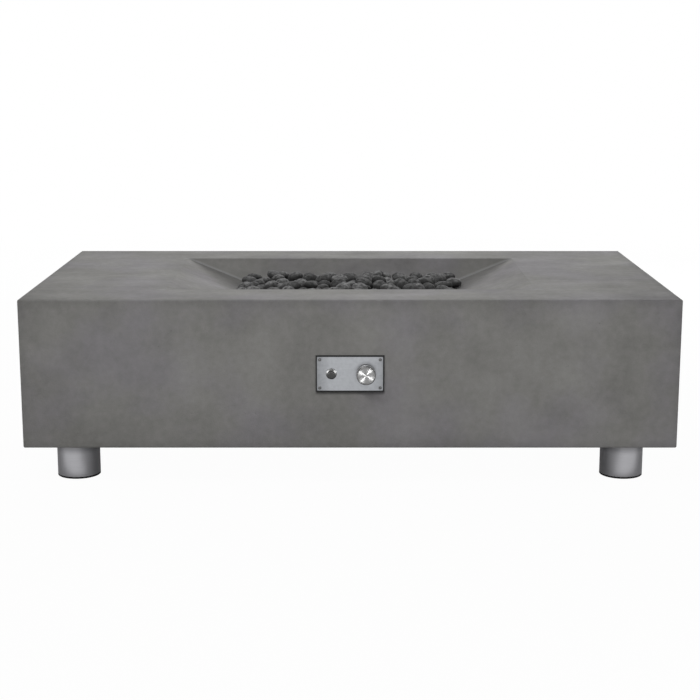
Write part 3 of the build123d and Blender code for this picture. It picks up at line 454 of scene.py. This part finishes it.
def lava():
    """Tumbled lava: dark grey stones that differ a little, finely pitted, with dust on their tops that is also
    painted shade: tops lighter, sides and lower parts darker.
    """
    m = Finish("lava", roughness=0.85)
    stone = m.add("ShaderNodeNewGeometry").outputs["Random Per Island"]
    base = m.mix(stone, grey(0.006, (1, 0.98, 0.98)), grey(0.040, (1, 0.98, 0.985)))
    rise = m.part(m.add("ShaderNodeTexCoord").outputs["Normal"], "Z")
    # Dust and painted shade: upward faces are lighter, sides and undersides darker.
    settled_and_lit = m.remap(rise, 0.1, 0.9, 0.05, 1)
    scattered = m.remap(m.noise(0.009, 5.0), 0.36, 0.62, 0.05, 0.9)
    dust = m.math("MULTIPLY", scattered, settled_and_lit)
    base = m.mix(dust, base, m.mix(stone, grey(0.075), grey(0.34)))
    pits = m.remap(m.cells(0.0032), 0.1, 0.42, 1, 0)
    porous = m.remap(m.noise(0.011, 3.0, offset=9.0), 0.4, 0.6, 0, 1)
    pits = m.math("MULTIPLY", pits, porous)
    m.colour(m.mix(m.math("MULTIPLY", pits, 0.75), base, grey(0.02)))
    m.bump(m.noise(0.0016, 4.0), 0.0008)
    m.bump(m.math("SUBTRACT", 1.0, pits), 0.0012)
    return m.material


LEG_LINES = (0.05, 0.05, 1)
PLATE_LINES = (0.03, 1, 1)
BURNER_LINES = (1, 0.06, 1)
LEG_TINT = (1, 0.995, 1.04)
PLATE_TINT = (0.97, 1, 1.05)
BRASS_TINT = (1, 0.79, 0.42)
HEATED_TINT = (1, 0.94, 0.86)

finishes = {
    "concrete": concrete(),
    "leg_steel": brushed("leg_steel", 0.42, LEG_LINES, (0.38, 0.48), LEG_TINT, marks_and_shade=leg_top_shadow),
    "black_rubber": rubber("black_rubber", 0.008),
    "fastener_steel": turned_metal("fastener_steel", 0.32, 0.36),
    "plate_steel": brushed(
        "plate_steel", 0.44, PLATE_LINES, tint=PLATE_TINT, smear=0.0009, marks_and_shade=plate_shade_and_marks
    ),
    "brass": turned_metal("brass", 0.62, 0.32, BRASS_TINT),
    "spring_steel": turned_metal("spring_steel", 0.45, 0.3),
    "knob_metal": spun_metal(),
    "bezel_chrome": chrome(),
    "black_plastic": plastic("black_plastic", 0.075, 0.5),
    "battery_can": plastic("battery_can", 0.1, 0.35),
    "burner_steel": brushed("burner_steel", 0.4, BURNER_LINES, (0.35, 0.5)),
    "feed_metal": turned_metal("feed_metal", 0.6, 0.3),
    "insulator": ceramic(),
    "lava": lava(),
}


def dress(shape, material):
    shape.data.materials.clear()
    shape.data.materials.append(material)


for subpart in frame["record"]["subparts"]:
    dress(frame["nodes"][subpart["node"]], finishes[subpart["material_slot"]])
special_finishes = {
    "panel_screws": turned_metal("blackened_steel", 0.16, 0.3),
    "panel_gasket": rubber("gasket_rubber", 0.032),
    "burner_pan": turned_metal("scorched_steel", 0.06, 0.55),
    "burner": turned_metal("heated_steel", 0.15, 0.45, HEATED_TINT),
}
for name, finish in special_finishes.items():
    dress(frame["nodes"][name], finish)


# Stones


def islands(mesh):
    """The separate lumps of a bmesh, as lists of faces."""
    left = set(mesh.faces)
    while left:
        start = min(left, key=lambda face: face.index)
        lump, waiting = {start}, [start]
        while waiting:
            face = waiting.pop()
            beside = {f for e in face.edges for f in e.link_faces} - lump
            lump |= beside
            waiting += sorted(beside, key=lambda face: face.index)
        left -= lump
        yield sorted(lump, key=lambda face: face.index)


def rounded_stone(ball, faces, number):
    """Points of a tumbled stone that fills a faceted lump: the facets melt into one another."""
    corners = np.array(sorted({v.co[:] for face in faces for v in face.verts}))
    centre = corners.mean(axis=0)
    planes = {tuple(round(c, SAME_NORMAL_DIGITS) for c in face.normal): face for face in faces}
    normals = np.array([face.normal[:] for face in planes.values()])
    reach = [(np.array(face.verts[0].co) - centre) @ face.normal for face in planes.values()]
    lean = np.maximum(ball @ normals.T, 0) / np.array(reach)
    radius = (lean ** STONE_ROUNDNESS).sum(axis=1) ** (-1 / STONE_ROUNDNESS)
    shift = Vector([number * step for step in STONE_SHIFT])
    for index, way in enumerate(ball):
        lumps = noise.noise(Vector(way) * STONE_LUMP_RATE + shift)
        pits = noise.noise(Vector(way) * STONE_PIT_RATE + shift)
        radius[index] *= STONE_SWELL * (1 + STONE_LUMPS * lumps + STONE_PITS * pits)
    return centre + ball * radius[:, None]


def stone_bed():
    """One rounded stone in the place of each faceted one."""
    lumps = bmesh.new()
    lumps.from_mesh(frame["nodes"]["lava_stones"].data)
    bmesh.ops.remove_doubles(lumps, verts=lumps.verts, dist=SAME_POINT)
    lumps.faces.ensure_lookup_table()
    lumps.faces.index_update()
    sphere = bmesh.new()
    bmesh.ops.create_icosphere(sphere, subdivisions=STONE_DETAIL, radius=1)
    ball = np.array([v.co.normalized()[:] for v in sphere.verts])
    sides = [[v.index for v in face.verts] for face in sphere.faces]
    points, faces = [], []
    for number, lump in enumerate(islands(lumps)):
        faces += [[corner + number * len(ball) for corner in side] for side in sides]
        points += rounded_stone(ball, lump, number).tolist()
    mesh = bpy.data.meshes.new("tumbled_stones")
    mesh.from_pydata(points, [], faces)
    mesh.polygons.foreach_set("use_smooth", [True] * len(faces))
    lumps.free()
    sphere.free()
    bed = bpy.data.objects.new("tumbled_stones", mesh)
    bpy.context.scene.collection.objects.link(bed)
    dress(bed, finishes["lava"])
    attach(bed, "body")
    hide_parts("lava_stones")


stone_bed()


# Springs


def pressed_spring(node, fixed_end):
    """A copy of a spring that rides the body in place of the original."""
    coil = bpy.data.objects.new(f"{node}_coil", frame["nodes"][node].data.copy())
    bpy.context.scene.collection.objects.link(coil)
    low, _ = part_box(node)
    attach(coil, "body")
    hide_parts(node)
    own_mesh(coil)


for joint in frame["joints"]:
    for spring in joint.get("deforming_nodes", []):
        pressed_spring(spring["node"], spring["fixed_end_y_m"])


# Studio


def white_to_the_eye(tree):
    """One for the seen and reflected background, and none for the light that it casts."""
    path = tree.nodes.new("ShaderNodeLightPath")
    seen = path.outputs["Is Camera Ray"]
    for kind in ("Is Glossy Ray", "Is Transmission Ray"):
        larger = tree.nodes.new("ShaderNodeMath")
        larger.operation = "MAXIMUM"
        tree.links.new(seen, larger.inputs[0])
        tree.links.new(path.outputs[kind], larger.inputs[1])
        seen = larger.outputs[0]
    return seen


def floor():
    """A pale floor that keeps the object's shadow and fades into the white background."""
    mesh = bpy.data.meshes.new("floor")
    half = FLOOR_SIDE / 2
    corners = [(-half, -half, 0), (half, -half, 0), (half, half, 0), (-half, half, 0)]
    mesh.from_pydata(corners, [], [(0, 1, 2, 3)])
    ground = bpy.data.objects.new("floor", mesh)
    bpy.context.scene.collection.objects.link(ground)
    material = bpy.data.materials.new("floor")
    material.use_nodes = True
    tree = material.node_tree
    tree.nodes.clear()
    paper = tree.nodes.new("ShaderNodeBsdfDiffuse")
    paper.inputs["Color"].default_value = FLOOR_COLOUR
    glow = tree.nodes.new("ShaderNodeEmission")
    blend = tree.nodes.new("ShaderNodeMixShader")
    near = tree.nodes.new("ShaderNodeTexCoord")
    away = tree.nodes.new("ShaderNodeVectorMath")
    away.operation = "LENGTH"
    tree.links.new(near.outputs["Object"], away.inputs[0])
    fade = tree.nodes.new("ShaderNodeMapRange")
    tree.links.new(away.outputs["Value"], fade.inputs["Value"])
    for socket, value in zip(fade.inputs[1:5], (GLOW_NEAR, GLOW_FAR, FLOOR_GLOW, 1)):
        socket.default_value = value
    share = tree.nodes.new("ShaderNodeMath")
    share.operation = "MULTIPLY"
    tree.links.new(white_to_the_eye(tree), share.inputs[0])
    tree.links.new(fade.outputs[0], share.inputs[1])
    tree.links.new(share.outputs[0], blend.inputs[0])
    tree.links.new(paper.outputs[0], blend.inputs[1])
    tree.links.new(glow.outputs[0], blend.inputs[2])
    sheet = tree.nodes.new("ShaderNodeOutputMaterial")
    tree.links.new(blend.outputs[0], sheet.inputs[0])
    mesh.materials.append(material)
    ground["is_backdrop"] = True


def shadow_card():
    """A dimly glowing dark card on the floor that only shows in metal: a painted shadow of the body."""
    right = [
        (FLAG_LIP_REACH, FLAG_LIP_FRONT), (FLAG_LIP_REACH, FLAG_FRONT),
        (FLAG_REACH, FLAG_FRONT), (FLAG_REACH, FLAG_BACK),
    ]
    left = [(-x, y) for x, y in reversed(right)]
    mesh = bpy.data.meshes.new("shadow_card")
    corners = [(x, y, FLAG_LIFT) for x, y in right + left]
    mesh.from_pydata(corners, [], [tuple(range(len(corners)))])
    card = bpy.data.objects.new("shadow_card", mesh)
    bpy.context.scene.collection.objects.link(card)
    material = bpy.data.materials.new("shadow_card")
    material.use_nodes = True
    surface = material.node_tree.nodes["Principled BSDF"].inputs
    surface["Base Color"].default_value = grey(0)
    surface["Emission Color"].default_value = grey(SHADOW_CARD_LEVEL)
    surface["Emission Strength"].default_value = 1
    mesh.materials.append(material)
    card.visible_camera = False
    card.visible_diffuse = False
    card.visible_shadow = False
    card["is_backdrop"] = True


def sky():
    world = bpy.data.worlds.new("studio")
    bpy.context.scene.world = world
    world.use_nodes = True
    tree = world.node_tree
    background = tree.nodes["Background"].inputs
    tree.links.new(white_to_the_eye(tree), background["Strength"])
    background["Color"].default_value = grey(1)


def hang(light, place, target, shine=True, spread=True):
    """Puts a light at a place, facing a target.

    Without shine it doesn't gleam in metal, and without spread it doesn't light dull surfaces.
    """
    lamp = bpy.data.objects.new(light.name, light)
    lamp.location = place
    lamp.rotation_euler = (Vector(target) - Vector(place)).to_track_quat("-Z", "Y").to_euler()
    lamp.visible_camera = False
    lamp.visible_glossy = shine
    lamp.visible_diffuse = spread
    bpy.context.scene.collection.objects.link(lamp)


def softbox(name, place, target, width, height, watts, shine=True):
    light = bpy.data.lights.new(name, "AREA")
    light.shape = "RECTANGLE"
    light.size, light.size_y = width, height
    light.energy = watts
    hang(light, place, target, shine)


def pin(name, node, way, watts, width, spread=True):
    """A narrow spot lamp that gives a small round piece its gleam, from the given direction."""
    low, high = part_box(node)
    target = Vector(((low.x + high.x) / 2, low.y, (low.z + high.z) / 2))
    light = bpy.data.lights.new(name, "SPOT")
    light.energy = watts
    light.shadow_soft_size = PIN_RADIUS
    light.spot_size = width * (high.x - low.x) / PIN_DISTANCE
    light.spot_blend = PIN_BLEND
    hang(light, target + PIN_DISTANCE * Vector(way), target, spread=spread)


def camera():
    low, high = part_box("concrete_shell")
    lens = bpy.data.cameras.new("camera")
    lens.lens = CAMERA_LENS
    lens.shift_y = AXIS_ROW_SHIFT / IMAGE_SIDE
    view = bpy.data.objects.new("camera", lens)
    view.location = ((low.x + high.x) / 2, low.y - CAMERA_AHEAD, high.z + CAMERA_ABOVE)
    view.rotation_euler = (math.pi / 2 - CAMERA_PITCH, 0, 0)
    bpy.context.scene.collection.objects.link(view)
    bpy.context.scene.camera = view


panel_low, panel_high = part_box("control_plate")
panel_place = (panel_low + panel_high) / 2
floor()
sky()
shadow_card()
softbox(
    "overhead", place=(0.9, 1.75, 2.2), target=(0.1, 0, 0.4),
    width=2.6, height=1.6, watts=20,
)
softbox(
    "horizon", place=(0.6, 3.4, 1.15), target=(0, 0, 0.44),
    width=4.0, height=0.8, watts=125, shine=False,
)
softbox(
    "key", place=panel_place + KEY_DISTANCE * KEY_WAY, target=panel_place,
    width=2.2, height=0.8, watts=54,
)
softbox(
    "front_fill", place=(0.9, -2.4, 0.22), target=(0.1, -0.4, 0.25),
    width=3.2, height=0.4, watts=12.3, shine=False,
)
for side, sign in (("left", -1), ("right", 1)):
    softbox(
        f"{side}_fill", place=(sign * 2.4, 0.1, 0.22), target=(sign * 0.7, 0, 0.25),
        width=1.2, height=0.4, watts=9, shine=False,
    )
pin("knob_pin_right", "knob", way=(0.285, -0.948, 0.139), watts=80, width=0.9)
pin("knob_pin_left", "knob", way=(-0.377, -0.926, -0.005), watts=80, width=0.9)
pin(
    "bezel_pin_right", "igniter_bezel", way=(0.893, -0.065, 0.447),
    watts=220, width=1.2, spread=False,
)
pin(
    "bezel_pin_left", "igniter_bezel", way=(-0.900, -0.045, 0.435),
    watts=220, width=1.2, spread=False,
)
camera()
bpy.context.scene.view_settings.view_transform = "Standard"

boxes = {"cad": cad_box, "visual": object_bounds()}
{name: [list(corner) for corner in box] for name, box in boxes.items()}
